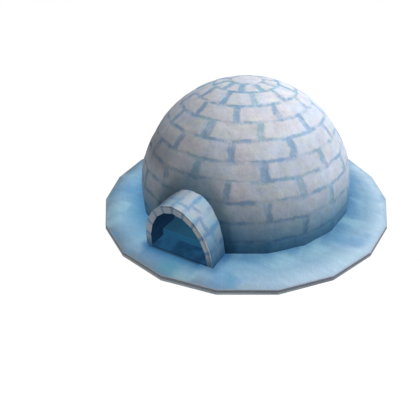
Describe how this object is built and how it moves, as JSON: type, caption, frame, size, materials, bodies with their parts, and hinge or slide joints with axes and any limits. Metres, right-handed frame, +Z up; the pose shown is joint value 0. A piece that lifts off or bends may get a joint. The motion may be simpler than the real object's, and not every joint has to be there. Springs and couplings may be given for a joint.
{
  "type": "igloo",
  "caption": "Snow-block igloo: a stepped-bond dome of cut blocks with a key block, an arched crawl entrance with its wedge blocks, inner floor, and a round snow platform",
  "frame": {"origin": "middle of the platform's underside, at ground level under the dome's axis", "axes": "+Z up; the entrance looks along -Y; +X is to the right of someone looking at the entrance from outside"},
  "size_m": [4.884, 4.884, 1.956],
  "materials": {
    "snow_block": "matte",
    "joint_snow": "matte",
    "porch_block": "satin",
    "porch_joint": "satin",
    "passage_ice": "satin",
    "floor_snow": "matte",
    "deck_snow": "satin",
    "rim_dark": "matte",
    "rim_light": "matte"
  },
  "bodies": {
    "root": {"course_01_blocks": "snow_block", "course_01_joints": "joint_snow", "course_02_blocks": "snow_block", "course_02_joints": "joint_snow", "course_03_blocks": "snow_block", "course_03_joints": "joint_snow", "course_04_blocks": "snow_block", "course_04_joints": "joint_snow", "course_05_blocks": "snow_block", "course_05_joints": "joint_snow", "course_06_blocks": "snow_block", "course_06_joints": "joint_snow", "course_07_blocks": "snow_block", "course_07_joints": "joint_snow", "course_08_blocks": "snow_block", "course_08_joints": "joint_snow", "course_09_blocks": "snow_block", "course_09_joints": "joint_snow", "course_10_blocks": "snow_block", "course_10_joints": "joint_snow", "key_block": "snow_block", "porch_front_blocks": "porch_block", "porch_front_joints": "porch_joint", "porch_back_blocks": "porch_block", "porch_back_joints": "porch_joint", "passage_floor": "passage_ice", "living_floor": "floor_snow", "platform_deck": "deck_snow", "platform_band": "rim_dark", "platform_foot": "rim_light"}
  },
  "joints": []
}
